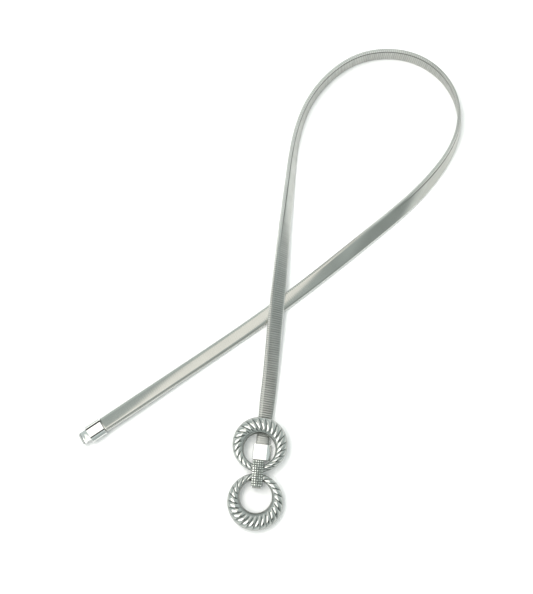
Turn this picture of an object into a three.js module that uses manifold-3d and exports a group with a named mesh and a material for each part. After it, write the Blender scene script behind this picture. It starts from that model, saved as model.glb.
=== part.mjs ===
// A metal stretch belt lying on a table: a narrow coil band with a loop and a half twist in it,
// a buckle of two graduated rope-twist rings joined by a stone-set bridge, a polished cap on each
// end of the band, and a hook in the cap of the free end.
// Millimetres. X to the right, Y away from the viewer, Z up. The table is the plane Z = 0 and the
// origin lies on it, under the middle of the belt.

import * as THREE from "three";
import { mergeVertices } from "three/addons/utils/BufferGeometryUtils.js";
import Module from "manifold-3d";

const wasm = await Module();
wasm.setup();

const fitGap = 0.3;
const weldDistance = 1e-5;

const band = {
  width: 10.2,
  thick: 2.8,
  endWidth: 8.2,
  endThick: 2.2,
  neckStart: 5.4,
  neckEnd: 6.0,
  sectionStep: 5.8,
  edgeSteps: 5,
};

// Places along the band, from the buckle round the loop to the free end. x and y are measured from
// the middle of the bridge, turn is the angle of the ribbed face from straight up, in degrees, and
// lift is the height of the section's lowest point.
const stations = [
  { x: 2.5, y: 13.0, turn: 0, lift: 0.55 },
  { x: 4.4, y: 30.6, turn: 0, lift: 0.35 },
  { x: 8.3, y: 65.6, turn: 4, lift: 1.1 },
  { x: 11.2, y: 98.1, turn: 11, lift: 3.5 },
  { x: 14.4, y: 129.6, turn: 24, lift: 3.7 },
  { x: 18.1, y: 167.3, turn: 43, lift: 2.2 },
  { x: 21.9, y: 202.2, turn: 56, lift: 0.7 },
  { x: 26.9, y: 238.9, turn: 68, lift: 0 },
  { x: 36.4, y: 267.9, turn: 77, lift: 0 },
  { x: 52.8, y: 291.3, turn: 81, lift: 0 },
  { x: 74.9, y: 307.1, turn: 83, lift: 0 },
  { x: 97.1, y: 311.3, turn: 85, lift: 0 },
  { x: 119.3, y: 305.7, turn: 87, lift: 0 },
  { x: 137.3, y: 289.1, turn: 91, lift: 0 },
  { x: 145.4, y: 268.1, turn: 98, lift: 0 },
  { x: 145.7, y: 252.0, turn: 105, lift: 0 },
  { x: 139.7, y: 232.3, turn: 111, lift: 0 },
  { x: 127.8, y: 212.9, turn: 121, lift: 0 },
  { x: 105.4, y: 187.9, turn: 139, lift: 0 },
  { x: 82.0, y: 167.4, turn: 156, lift: 0 },
  { x: 54.0, y: 143.9, turn: 171, lift: 0 },
  { x: 4.0, y: 103.9, turn: 179, lift: 0 },
  { x: -43.2, y: 69.8, turn: 182, lift: 0.3 },
  { x: -84.4, y: 40.5, turn: 185, lift: 1.4 },
  { x: -103.8, y: 26.9, turn: 186, lift: 1.5 },
];

// How the band narrows into the caps, by distance from its end.
const buckleNeck = [
  { from: 0, width: band.endWidth, thick: band.endThick },
  { from: band.neckStart, width: band.endWidth, thick: band.endThick },
  { from: band.neckEnd, width: 8.4, thick: band.thick },
  { from: 33, width: band.width, thick: band.thick },
];
const tipNeck = [
  { from: 0, width: band.endWidth, thick: band.endThick },
  { from: band.neckStart, width: band.endWidth, thick: band.endThick },
  { from: band.neckEnd, width: 10.0, thick: band.thick },
  { from: 15, width: band.width, thick: band.thick },
];

// The buckle: place of the bridge's middle, lean to the right going away, and tilt, because the
// far ring lies on the band. Its own axes are X across, Y towards the far ring, Z up.
const buckle = {
  x: -17.0,
  y: -138.9,
  z: 1.76,
  lean: 4.6,
  tilt: 3.37,
};

// Each ring is a tube between a round outline and a round hole that lies off its centre, so the
// metal is broad at the far end and thin under the bridge. Its flutes run over the top, between a
// plain rim and a plain wall: twist is how far each one leads at the wall, in flutes, and the fades
// are sines of the angle round the section where it begins and where it is at full depth.
const ring = {
  outerDiameter: 34.8,
  holeDiameter: 19.8,
  holeOffset: 3.25,
  farHeight: 7.0,
  nearHeight: 3.9,
  spacing: 0.8,
  flutes: 24,
  stepsPerFlute: 4,
  twist: 4,
  fluteDepth: 0.17,
  rimFade: [0.3, 0.75],
  wallFade: [0.6, 0.92],
  sectionSteps: 16,
};

// The bridge: a strap that wraps both thin arcs, ends in a bar at the near end and a tongue at the
// far end, and carries a bed of stones.
const bridge = {
  strapWidth: 5.3,
  strapThick: 1.0,
  wallThick: 0.9,
  sleeveHalf: 5.35,
  sleeveFloor: 1.25,
  sleeveTop: 5.75,
  barEnd: -9.6,
  barFoot: 0.5,
  barBend: 1.6,
  bendSteps: 4,
  bedWidth: 7.0,
  bedNear: -8.5,
  bedFar: 7.4,
  bedThick: 0.7,
  tongueWidth: 4.4,
  tongueShift: 1.25,
  tongueDrop: 1.0,
  tongueEnd: 10.9,
};

const stone = {
  columns: 5,
  rows: 11,
  sides: 8,
  girdleRadius: 0.63,
  tableRadius: 0.38,
  height: 0.45,
  sink: 0.15,
};

const cap = {
  width: 11.6,
  length: 10.2,
  height: 3.9,
  faceWidth: 9.2,
  sideHeight: 1.8,
  pocketDepth: 3.3,
  grooveAt: 3.1,
  grooveWidth: 0.8,
  grooveDepth: 0.3,
  tonguePocket: { width: 5.4, low: -0.9, high: 1.0 },
};

const hook = {
  width: 8.0,
  thick: 1.1,
  outerRadius: 2.4,
  reach: 5.7,
  drop: 3.98,
  back: -1.1,
  bendSteps: 6,
  cornerRadius: 1.6,
  cornerSteps: 4,
};

// Tools that cut a mouth or trim a plate run this far past it.
const overrun = 1;

const metal = (color, roughness) =>
  new THREE.MeshStandardMaterial({ color, roughness, metalness: 1, flatShading: true });

// Natural cubic spline through the values at increasing places; gives value and slope.
function spline(at, value) {
  const n = at.length;
  const bend = new Array(n).fill(0);
  const work = new Array(n).fill(0);
  for (let i = 1; i < n - 1; i++) {
    const before = at[i] - at[i - 1];
    const after = at[i + 1] - at[i];
    const share = before / (before + after);
    const pivot = share * bend[i - 1] + 2;
    const change = (value[i + 1] - value[i]) / after - (value[i] - value[i - 1]) / before;
    bend[i] = (share - 1) / pivot;
    work[i] = ((6 * change) / (before + after) - share * work[i - 1]) / pivot;
  }
  bend[n - 1] = 0;
  for (let i = n - 2; i >= 0; i--) bend[i] = bend[i] * bend[i + 1] + work[i];
  return (s) => {
    let i = 0;
    while (i < n - 2 && s > at[i + 1]) i++;
    const h = at[i + 1] - at[i];
    const a = (at[i + 1] - s) / h;
    const b = 1 - a;
    const curve = ((a ** 3 - a) * bend[i] + (b ** 3 - b) * bend[i + 1]) * h * h;
    const steepen = (3 * b * b - 1) * bend[i + 1] - (3 * a * a - 1) * bend[i];
    return {
      value: a * value[i] + b * value[i + 1] + curve / 6,
      slope: (value[i + 1] - value[i]) / h + (steepen * h) / 6,
    };
  };
}

// Straight-line reading of a short table of widths.
function readNeck(neck, from) {
  const last = neck.length - 1;
  if (from >= neck[last].from) return neck[last];
  let i = 0;
  while (from > neck[i + 1].from) i++;
  const t = (from - neck[i].from) / (neck[i + 1].from - neck[i].from);
  return {
    width: THREE.MathUtils.lerp(neck[i].width, neck[i + 1].width, t),
    thick: THREE.MathUtils.lerp(neck[i].thick, neck[i + 1].thick, t),
  };
}

// Distance along the table from the first station to each station.
function stationPlaces() {
  const at = [0];
  for (let i = 1; i < stations.length; i++) {
    const dx = stations[i].x - stations[i - 1].x;
    const dy = stations[i].y - stations[i - 1].y;
    at.push(at[i - 1] + Math.hypot(dx, dy));
  }
  return at;
}

const places = stationPlaces();
const bandLength = places[places.length - 1];
const route = {
  x: spline(places, stations.map((row) => row.x)),
  y: spline(places, stations.map((row) => row.y)),
  turn: spline(places, stations.map((row) => row.turn)),
  lift: spline(places, stations.map((row) => row.lift)),
};

// The band's own axes at a place: along it, to its left edge, and out of its ribbed face.
function bandFrame(s) {
  const x = route.x(s);
  const y = route.y(s);
  const turn = THREE.MathUtils.degToRad(route.turn(s).value);
  const up = new THREE.Vector3(0, 0, 1);
  const along = new THREE.Vector3(x.slope, y.slope, 0).normalize();
  const left = new THREE.Vector3().crossVectors(up, along);
  const edge = left.clone().multiplyScalar(Math.cos(turn)).addScaledVector(up, Math.sin(turn));
  const face = up.clone().multiplyScalar(Math.cos(turn)).addScaledVector(left, -Math.sin(turn));
  const halfFlat = (band.width - band.thick) / 2;
  const height = Math.max(route.lift(s).value, 0) + halfFlat * Math.abs(Math.sin(turn)) + band.thick / 2;
  const centre = new THREE.Vector3(buckle.x + x.value, buckle.y + y.value, height);
  return { centre, along, edge, face };
}

// Two half rounds joined by flats: the outline of the band, across and through.
function bandSection(width, thick) {
  const radius = thick / 2;
  const halfFlat = width / 2 - radius;
  const points = [];
  for (const side of [1, -1]) {
    for (let i = 0; i <= band.edgeSteps; i++) {
      const angle = -Math.PI / 2 + (Math.PI * i) / band.edgeSteps;
      const across = side * (halfFlat + radius * Math.cos(angle));
      points.push({ across, through: side * radius * Math.sin(angle) });
    }
  }
  return points;
}

// A closed mesh through equal rings of points: open ends are filled, or the last ring meets the first.
function skin(rings, meetsItself) {
  const count = rings[0].length;
  const positions = rings.flat().flatMap((p) => [p.x, p.y, p.z]);
  const index = [];
  const spans = meetsItself ? rings.length : rings.length - 1;
  for (let i = 0; i < spans; i++) {
    const next = (i + 1) % rings.length;
    for (let j = 0; j < count; j++) {
      const a = i * count + j;
      const b = i * count + ((j + 1) % count);
      const c = next * count + j;
      const d = next * count + ((j + 1) % count);
      index.push(a, b, d, a, d, c);
    }
  }
  if (!meetsItself) {
    const end = (rings.length - 1) * count;
    for (let j = 1; j < count - 1; j++) {
      index.push(0, j + 1, j);
      index.push(end, end + j, end + j + 1);
    }
  }
  const geometry = new THREE.BufferGeometry();
  geometry.setAttribute("position", new THREE.Float32BufferAttribute(positions, 3));
  geometry.setIndex(index);
  return geometry;
}

function bandGeometry() {
  const inner = Math.round(bandLength / band.sectionStep);
  const first = Math.ceil(band.neckEnd / band.sectionStep);
  const stops = [0, band.neckStart, band.neckEnd];
  for (let i = first; i <= inner - first; i++) stops.push((bandLength * i) / inner);
  stops.push(bandLength - band.neckEnd, bandLength - band.neckStart, bandLength);
  const rings = stops.map((s) => {
    const nearBuckle = s < bandLength / 2;
    const size = nearBuckle ? readNeck(buckleNeck, s) : readNeck(tipNeck, bandLength - s);
    const frame = bandFrame(s);
    return bandSection(size.width, size.thick).map((p) =>
      frame.centre.clone().addScaledVector(frame.edge, p.across).addScaledVector(frame.face, p.through)
    );
  });
  return skin(rings, false);
}

// One rope-twist ring with its thin side towards -Y. Its columns of points follow the flutes, which
// are evenly spaced round the outline. The first column lies start flutes from a groove's floor.
function ringGeometry(start) {
  const halfWidth = (ring.outerDiameter - ring.holeDiameter) / 4;
  const midRadius = (ring.outerDiameter + ring.holeDiameter) / 4;
  const sway = ring.holeOffset / 2;
  const meanHeight = (ring.farHeight + ring.nearHeight) / 4;
  const heightSway = (ring.farHeight - ring.nearHeight) / 4;
  const centreY = ring.spacing / 2 + ring.outerDiameter / 2 - sway;
  const steps = ring.flutes * ring.stepsPerFlute;
  const rings = [];
  for (let i = 0; i < steps; i++) {
    const column = (2 * Math.PI * i) / steps;
    const groove = 0.5 + 0.5 * Math.cos(ring.flutes * column + 2 * Math.PI * start);
    const points = [];
    for (let j = 0; j < ring.sectionSteps; j++) {
      const angle = (2 * Math.PI * j) / ring.sectionSteps;
      const turned = column - (ring.twist / ring.flutes) * Math.cos(angle);
      const around = turned - (sway / midRadius) * Math.sin(turned);
      const fade = Math.cos(angle) > 0 ? ring.rimFade : ring.wallFade;
      const onTop = THREE.MathUtils.smoothstep(Math.sin(angle), ...fade);
      const flute = 1 - ring.fluteDepth * onTop * groove;
      const far = Math.cos(around);
      const radius = midRadius + (halfWidth + sway * far) * Math.cos(angle) * flute;
      const x = radius * Math.sin(around);
      const y = centreY + radius * Math.cos(around);
      const z = ring.farHeight / 2 + (meanHeight + heightSway * far) * Math.sin(angle) * flute;
      points.push(new THREE.Vector3(x, y, z));
    }
    rings.push(points);
  }
  return skin(rings, true);
}

function toSolid(geometry) {
  const plain = geometry.clone();
  plain.deleteAttribute("normal");
  plain.deleteAttribute("uv");
  const merged = mergeVertices(plain, weldDistance);
  return new wasm.Manifold(
    new wasm.Mesh({
      numProp: 3,
      vertProperties: Float32Array.from(merged.attributes.position.array),
      triVerts: Uint32Array.from(merged.index.array),
    })
  );
}

function toGeometry(solid) {
  const mesh = solid.getMesh();
  const geometry = new THREE.BufferGeometry();
  geometry.setAttribute("position", new THREE.Float32BufferAttribute(mesh.vertProperties, 3));
  geometry.setIndex(Array.from(mesh.triVerts));
  return geometry;
}

function block(x, y, z) {
  const geometry = new THREE.BoxGeometry(x[1] - x[0], y[1] - y[0], z[1] - z[0]);
  geometry.translate((x[0] + x[1]) / 2, (y[0] + y[1]) / 2, (z[0] + z[1]) / 2);
  return toSolid(geometry);
}

// A profile drawn in Y and Z, given thickness across X.
function acrossX(shape, width, curveSegments) {
  const geometry = new THREE.ExtrudeGeometry(shape, { depth: width, bevelEnabled: false, curveSegments });
  geometry.translate(0, 0, -width / 2);
  const axisX = new THREE.Vector3(1, 0, 0);
  const axisY = new THREE.Vector3(0, 1, 0);
  const axisZ = new THREE.Vector3(0, 0, 1);
  geometry.applyMatrix4(new THREE.Matrix4().makeBasis(axisY, axisZ, axisX));
  return toSolid(geometry);
}

// The strap from its bar over both arcs and down to the tongue, seen from the side.
function strapSolid() {
  const b = bridge;
  const half = [-b.strapWidth / 2, b.strapWidth / 2];
  const outer = b.sleeveHalf + b.wallThick;
  const bottom = b.sleeveFloor - b.strapThick;
  const bar = new THREE.Shape();
  const top = b.sleeveTop + b.strapThick;
  const bend = b.barBend;
  bar.moveTo(b.bedFar, b.sleeveTop);
  bar.lineTo(b.bedFar, top);
  bar.lineTo(b.barEnd + bend, top);
  bar.absarc(b.barEnd + bend, top - bend, bend, Math.PI / 2, Math.PI, false);
  bar.lineTo(b.barEnd, b.barFoot);
  bar.lineTo(b.barEnd + b.strapThick, b.barFoot);
  bar.lineTo(b.barEnd + b.strapThick, b.sleeveTop);
  bar.closePath();
  const wall = [b.sleeveFloor - b.strapThick, b.sleeveTop + b.strapThick / 2];
  const tongueTop = bottom + b.strapThick - b.tongueDrop;
  const tongue = [b.tongueShift - b.tongueWidth / 2, b.tongueShift + b.tongueWidth / 2];
  return acrossX(bar, b.strapWidth, b.bendSteps)
    .add(block(half, [-outer, -b.sleeveHalf], wall))
    .add(block(half, [b.sleeveHalf, outer], [tongueTop - b.strapThick, wall[1]]))
    .add(block(half, [-outer, outer], [bottom, b.sleeveFloor]))
    .add(block(tongue, [b.sleeveHalf, b.tongueEnd], [tongueTop - b.strapThick, tongueTop]));
}

// One cut stone: eight crown facets up to a flat table.
function stoneGeometry() {
  const height = stone.height + stone.sink;
  const geometry = new THREE.CylinderGeometry(
    stone.tableRadius, stone.girdleRadius, height, stone.sides
  );
  geometry.rotateX(Math.PI / 2);
  geometry.rotateZ(Math.PI / stone.sides);
  geometry.translate(0, 0, height / 2 - stone.sink);
  return geometry;
}

function bridgeGeometry() {
  const b = bridge;
  const bedFloor = b.sleeveTop + b.strapThick;
  const bedTop = bedFloor + b.bedThick;
  const halfBed = b.bedWidth / 2;
  let solid = strapSolid().add(
    block([-halfBed, halfBed], [b.bedNear, b.bedFar], [bedFloor - b.strapThick / 2, bedTop])
  );
  const stepX = b.bedWidth / stone.columns;
  const stepY = (b.bedFar - b.bedNear) / stone.rows;
  const pattern = stoneGeometry();
  for (let row = 0; row < stone.rows; row++) {
    for (let column = 0; column < stone.columns; column++) {
      const one = pattern.clone();
      one.translate(-halfBed + stepX * (column + 0.5), b.bedNear + stepY * (row + 0.5), bedTop);
      solid = solid.add(toSolid(one));
    }
  }
  return toGeometry(solid);
}

// A cap in its own axes: Y towards its outer end, Z out of the band's ribbed face. Its mouth takes
// the band and its pocket the tongue or hook. Two grooves run along its back.
function capGeometry(pocketSize) {
  const halfLength = cap.length / 2;
  const halfWidth = cap.width / 2;
  const halfFace = cap.faceWidth / 2;
  const halfHeight = cap.height / 2;
  const halfSide = cap.sideHeight / 2;
  const grooveFloor = cap.grooveDepth - halfHeight;
  const grooveIn = cap.grooveAt - cap.grooveWidth / 2;
  const grooveOut = cap.grooveAt + cap.grooveWidth / 2;
  const outline = new THREE.Shape([
    new THREE.Vector2(-grooveOut, -halfHeight),
    new THREE.Vector2(-grooveOut, grooveFloor),
    new THREE.Vector2(-grooveIn, grooveFloor),
    new THREE.Vector2(-grooveIn, -halfHeight),
    new THREE.Vector2(grooveIn, -halfHeight),
    new THREE.Vector2(grooveIn, grooveFloor),
    new THREE.Vector2(grooveOut, grooveFloor),
    new THREE.Vector2(grooveOut, -halfHeight),
    new THREE.Vector2(halfFace, -halfHeight),
    new THREE.Vector2(halfWidth, -halfSide),
    new THREE.Vector2(halfWidth, halfSide),
    new THREE.Vector2(halfFace, halfHeight),
    new THREE.Vector2(-halfFace, halfHeight),
    new THREE.Vector2(-halfWidth, halfSide),
    new THREE.Vector2(-halfWidth, -halfSide),
    new THREE.Vector2(-halfFace, -halfHeight),
  ]);
  const sleeve = new THREE.ExtrudeGeometry(outline, { depth: cap.length, bevelEnabled: false });
  sleeve.rotateX(Math.PI / 2);
  sleeve.translate(0, halfLength, 0);
  const mouthX = band.endWidth / 2 + fitGap;
  const mouthZ = band.endThick / 2 + fitGap;
  const mouth = block([-mouthX, mouthX], [-halfLength - overrun, fitGap], [-mouthZ, mouthZ]);
  const pocket = block(
    [-pocketSize.width / 2, pocketSize.width / 2],
    [halfLength - cap.pocketDepth, halfLength + overrun],
    [pocketSize.low, pocketSize.high]
  );
  return toGeometry(toSolid(sleeve).subtract(mouth).subtract(pocket));
}

// The hook, in the cap's axes: a plate that leaves the cap and turns over towards the ribbed side.
function hookGeometry() {
  const root = cap.length / 2 - cap.pocketDepth + fitGap;
  const tip = cap.length / 2 + hook.reach;
  const bendY = tip - hook.outerRadius;
  const bendZ = hook.back + hook.outerRadius;
  const side = new THREE.Shape();
  side.moveTo(root, hook.back);
  side.lineTo(bendY, hook.back);
  side.absarc(bendY, bendZ, hook.outerRadius, -Math.PI / 2, 0, false);
  side.lineTo(tip, hook.back + hook.drop);
  side.lineTo(tip - hook.thick, hook.back + hook.drop);
  side.lineTo(tip - hook.thick, bendZ);
  side.absarc(bendY, bendZ, hook.outerRadius - hook.thick, 0, -Math.PI / 2, true);
  side.lineTo(root, hook.back + hook.thick);
  side.closePath();
  const half = hook.width / 2;
  const r = hook.cornerRadius;
  const plan = new THREE.Shape();
  plan.moveTo(-half, root - overrun);
  plan.lineTo(half, root - overrun);
  plan.lineTo(half, tip - r);
  plan.absarc(half - r, tip - r, r, 0, Math.PI / 2, false);
  plan.lineTo(-half + r, tip);
  plan.absarc(-half + r, tip - r, r, Math.PI / 2, Math.PI, false);
  plan.closePath();
  const depth = hook.drop + 2 * overrun;
  const curveSegments = hook.cornerSteps;
  const column = new THREE.ExtrudeGeometry(plan, { depth, bevelEnabled: false, curveSegments });
  column.translate(0, 0, hook.back - overrun);
  return toGeometry(acrossX(side, hook.width + overrun, hook.bendSteps).intersect(toSolid(column)));
}

// Sets an object on the band's end: Y along the given way, Z out of the ribbed face.
function seatOnBand(object, s, outward) {
  const frame = bandFrame(s);
  const axisY = frame.along.clone().multiplyScalar(outward);
  const axisX = new THREE.Vector3().crossVectors(axisY, frame.face);
  object.quaternion.setFromRotationMatrix(new THREE.Matrix4().makeBasis(axisX, axisY, frame.face));
  object.position.copy(frame.centre);
}

function named(name, geometry, material) {
  const mesh = new THREE.Mesh(geometry, material);
  mesh.name = name;
  return mesh;
}

const polished = metal(0xc9ceca, 0.15);
const belt = new THREE.Group();

belt.add(named("band", bandGeometry(), metal(0xa9b0aa, 0.4)));

const buckleGroup = new THREE.Group();
buckleGroup.rotation.order = "ZXY";
buckleGroup.rotation.z = THREE.MathUtils.degToRad(-buckle.lean);
buckleGroup.rotation.x = THREE.MathUtils.degToRad(buckle.tilt);
buckleGroup.position.set(buckle.x, buckle.y, buckle.z);
const upperRing = named("upper_ring", ringGeometry(0), polished);
const lowerRing = named("lower_ring", ringGeometry(0.5), polished);
lowerRing.geometry.scale(1, -1, 1);
lowerRing.geometry.setIndex(Array.from(lowerRing.geometry.index.array).reverse());
buckleGroup.add(upperRing, lowerRing, named("bridge", bridgeGeometry(), metal(0xb9bdb6, 0.3)));
belt.add(buckleGroup);

const buckleCap = new THREE.Group();
buckleCap.add(named("buckle_cap", capGeometry(cap.tonguePocket), polished));
seatOnBand(buckleCap, 0, -1);
belt.add(buckleCap);

const tipCap = new THREE.Group();
const hookPocket = {
  width: hook.width + 2 * fitGap,
  low: hook.back - fitGap,
  high: hook.back + hook.thick + fitGap,
};
tipCap.add(named("tip_cap", capGeometry(hookPocket), polished));
tipCap.add(named("tip_hook", hookGeometry(), polished));
seatOnBand(tipCap, bandLength, 1);
belt.add(tipCap);

export default belt;
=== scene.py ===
import math

import bmesh
import bpy
import numpy as np
from mathutils import Matrix, Vector


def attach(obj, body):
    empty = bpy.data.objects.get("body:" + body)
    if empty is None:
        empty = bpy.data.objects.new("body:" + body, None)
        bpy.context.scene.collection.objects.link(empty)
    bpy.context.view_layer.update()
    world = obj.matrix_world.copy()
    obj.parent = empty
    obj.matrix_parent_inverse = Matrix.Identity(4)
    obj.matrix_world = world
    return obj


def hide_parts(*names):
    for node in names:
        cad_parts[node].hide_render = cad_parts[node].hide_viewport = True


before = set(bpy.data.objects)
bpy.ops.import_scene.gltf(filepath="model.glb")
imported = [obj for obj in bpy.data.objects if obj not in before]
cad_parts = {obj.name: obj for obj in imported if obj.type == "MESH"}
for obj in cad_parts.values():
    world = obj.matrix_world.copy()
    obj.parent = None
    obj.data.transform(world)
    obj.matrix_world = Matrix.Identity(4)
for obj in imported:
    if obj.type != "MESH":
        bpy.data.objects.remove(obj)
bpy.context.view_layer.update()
print("stage: frame loaded")

# Sizes here are millimetres in the belt's own frame; meshes are written in metres.
mm = 0.001


def addObject(name, data):
    item = bpy.data.objects.new(name, data)
    bpy.context.scene.collection.objects.link(item)
    return item


# camera, at the photo's angle above the floor

camera = {
    "place": (-11.45, -219.3, 547.5),
    "downward": 70.0,  # degrees below the horizon
    "lens": 51.94,
    "sensor": 36.0,
}


def makeCamera():
    data = bpy.data.cameras.new("camera")
    data.lens = camera["lens"]
    data.sensor_width = camera["sensor"]
    data.clip_start = 0.01
    data.clip_end = 20
    item = addObject("camera", data)
    item.location = Vector(camera["place"]) * mm
    item.rotation_euler = (math.radians(90 - camera["downward"]), 0, 0)
    bpy.context.scene.camera = item


makeCamera()
print("stage: camera")


# small tools for meshes

def shadeSmooth(data, sharpAngle=None):
    # smooth shading, except at edges that are sharper than the angle
    data.polygons.foreach_set("use_smooth", [True] * len(data.polygons))
    if sharpAngle is not None:
        data.set_sharp_from_angle(angle=math.radians(sharpAngle))


def cleanMesh(data, sharpAngle):
    # joins points that lie on each other and turns every face outward
    mesh = bmesh.new()
    mesh.from_mesh(data)
    bmesh.ops.remove_doubles(mesh, verts=mesh.verts[:], dist=1e-7)
    bmesh.ops.dissolve_degenerate(mesh, edges=mesh.edges[:], dist=1e-7)
    bmesh.ops.recalc_face_normals(mesh, faces=mesh.faces[:])
    mesh.to_mesh(data)
    mesh.free()
    shadeSmooth(data, sharpAngle)


def makeMesh(name, points, faces, sharpAngle=None):
    data = bpy.data.meshes.new(name)
    data.from_pydata((np.asarray(points) * mm).tolist(), [], [list(f) for f in faces])
    data.validate()
    shadeSmooth(data, sharpAngle)
    return addObject(name, data)


def skinFaces(ringCount, pointCount, meetsItself):
    # quads between rings of points, with the ends filled unless the last ring meets the first
    spans = ringCount if meetsItself else ringCount - 1
    ring, point = np.meshgrid(np.arange(spans), np.arange(pointCount), indexing="ij")
    after = (ring + 1) % ringCount
    beside = (point + 1) % pointCount
    quads = np.stack([
        ring * pointCount + point,
        ring * pointCount + beside,
        after * pointCount + beside,
        after * pointCount + point,
    ], axis=-1).reshape(-1, 4).tolist()
    if not meetsItself:
        last = (ringCount - 1) * pointCount
        quads.append(list(range(pointCount - 1, -1, -1)))
        quads.append(list(range(last, last + pointCount)))
    return quads


def addNumber(item, name, values):
    # a number for each point that the material reads by name
    layer = item.data.attributes.new(name, "FLOAT", "POINT")
    layer.data.foreach_set("value", np.asarray(values, np.float32).ravel())


def placed(points, matrix):
    points = np.asarray(points, float)
    turn = np.array(matrix.to_3x3())
    return points @ turn.T + np.array(matrix.translation)


def smoothStep(x, low, high):
    t = np.clip((x - low) / (high - low), 0, 1)
    return t * t * (3 - 2 * t)


def finishPiece(item, slotName, *nodes):
    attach(item, "root")
    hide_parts(*nodes)


# shader groups that several finishes share

def newGroup(name, inputs, outputs):
    group = bpy.data.node_groups.new(name, "ShaderNodeTree")
    for label, value in inputs:
        socket = group.interface.new_socket(label, in_out="INPUT", socket_type="NodeSocketFloat")
        socket.default_value = value
    for label in outputs:
        group.interface.new_socket(label, in_out="OUTPUT", socket_type="NodeSocketFloat")
    source = group.nodes.new("NodeGroupInput")
    result = group.nodes.new("NodeGroupOutput")
    return group, source, result


def mathNode(tree, operation, first, second):
    node = tree.nodes.new("ShaderNodeMath")
    node.operation = operation
    for index, value in enumerate((first, second)):
        if isinstance(value, (int, float)):
            node.inputs[index].default_value = value
        else:
            tree.links.new(value, node.inputs[index])
    return node.outputs[0]


def makeScratchGroup():
    # fine hairlines of handling: a height for bump and a mask for gloss
    group, source, result = newGroup(
        "handlingScratches", [("Scale", 900.0), ("Stretch", 6.0)], ["Height", "Mask"]
    )
    place = group.nodes.new("ShaderNodeTexCoord")
    split = group.nodes.new("ShaderNodeSeparateXYZ")
    group.links.new(place.outputs["Object"], split.inputs[0])
    join = group.nodes.new("ShaderNodeCombineXYZ")
    squeezed = mathNode(group, "MULTIPLY", split.outputs[0], source.outputs["Stretch"])
    group.links.new(squeezed, join.inputs[0])
    group.links.new(split.outputs[1], join.inputs[1])
    group.links.new(split.outputs[2], join.inputs[2])
    noise = group.nodes.new("ShaderNodeTexNoise")
    noise.inputs["Detail"].default_value = 3.0
    group.links.new(join.outputs[0], noise.inputs["Vector"])
    group.links.new(source.outputs["Scale"], noise.inputs["Scale"])
    ramp = group.nodes.new("ShaderNodeMapRange")
    ramp.inputs["From Min"].default_value = 0.42
    ramp.inputs["From Max"].default_value = 0.66
    group.links.new(noise.outputs[0], ramp.inputs["Value"])
    group.links.new(noise.outputs[0], result.inputs["Height"])
    group.links.new(ramp.outputs[0], result.inputs["Mask"])
    return group


def makeTarnishAndShadeGroup():
    # slow clouds of duller metal, and painted shade as strong as each point's shade amount
    group, source, result = newGroup(
        "tarnishAndShade", [("Scale", 60.0), ("Clouds", 0.25), ("ShadeAmount", 0.0), ("ShadeStrength", 0.7)], ["Mask"]
    )
    place = group.nodes.new("ShaderNodeTexCoord")
    noise = group.nodes.new("ShaderNodeTexNoise")
    noise.inputs["Detail"].default_value = 2.0
    group.links.new(place.outputs["Object"], noise.inputs["Vector"])
    group.links.new(source.outputs["Scale"], noise.inputs["Scale"])
    clouds = mathNode(group, "MULTIPLY", noise.outputs[0], source.outputs["Clouds"])
    shadeStrength = mathNode(group, "MULTIPLY", source.outputs["ShadeAmount"], source.outputs["ShadeStrength"])
    total = mathNode(group, "ADD", clouds, shadeStrength)
    limited = mathNode(group, "MINIMUM", total, 1.0)
    group.links.new(limited, result.inputs["Mask"])
    return group


scratchGroup = makeScratchGroup()
tarnishAndShadeGroup = makeTarnishAndShadeGroup()


def metalMaterial(name, look):
    material = bpy.data.materials.new(name)
    material.use_nodes = True
    tree = material.node_tree
    shader = tree.nodes["Principled BSDF"]
    shader.inputs["Metallic"].default_value = 1.0
    shadeAmount = tree.nodes.new("ShaderNodeAttribute")
    shadeAmount.attribute_name = "shadeAmount"
    tarnishAndShade = tree.nodes.new("ShaderNodeGroup")
    tarnishAndShade.node_tree = tarnishAndShadeGroup
    tarnishAndShade.inputs["Scale"].default_value = look["cloudScale"]
    tarnishAndShade.inputs["Clouds"].default_value = look["clouds"]
    tarnishAndShade.inputs["ShadeStrength"].default_value = look["shadeStrength"]
    tree.links.new(shadeAmount.outputs["Fac"], tarnishAndShade.inputs["ShadeAmount"])
    # the base colour darkens towards the second colour with the tarnish clouds and with the painted
    # shade
    colour = tree.nodes.new("ShaderNodeMix")
    colour.data_type = "RGBA"
    colour.inputs["A"].default_value = (*look["bright"], 1)
    colour.inputs["B"].default_value = (*look["dullAndShaded"], 1)
    tree.links.new(tarnishAndShade.outputs["Mask"], colour.inputs["Factor"])
    tree.links.new(colour.outputs["Result"], shader.inputs["Base Color"])
    scratches = tree.nodes.new("ShaderNodeGroup")
    scratches.node_tree = scratchGroup
    scratches.inputs["Scale"].default_value = look["scratchScale"]
    gloss = tree.nodes.new("ShaderNodeMapRange")
    gloss.inputs["To Min"].default_value = look["roughness"][0]
    gloss.inputs["To Max"].default_value = look["roughness"][1]
    tree.links.new(scratches.outputs["Mask"], gloss.inputs["Value"])
    tree.links.new(gloss.outputs[0], shader.inputs["Roughness"])
    bump = tree.nodes.new("ShaderNodeBump")
    bump.inputs["Strength"].default_value = look["bump"]
    bump.inputs["Distance"].default_value = 0.00002
    tree.links.new(scratches.outputs["Height"], bump.inputs["Height"])
    tree.links.new(bump.outputs[0], shader.inputs["Normal"])
    return material


# band: a flattened coil along the same route as the solid

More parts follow.
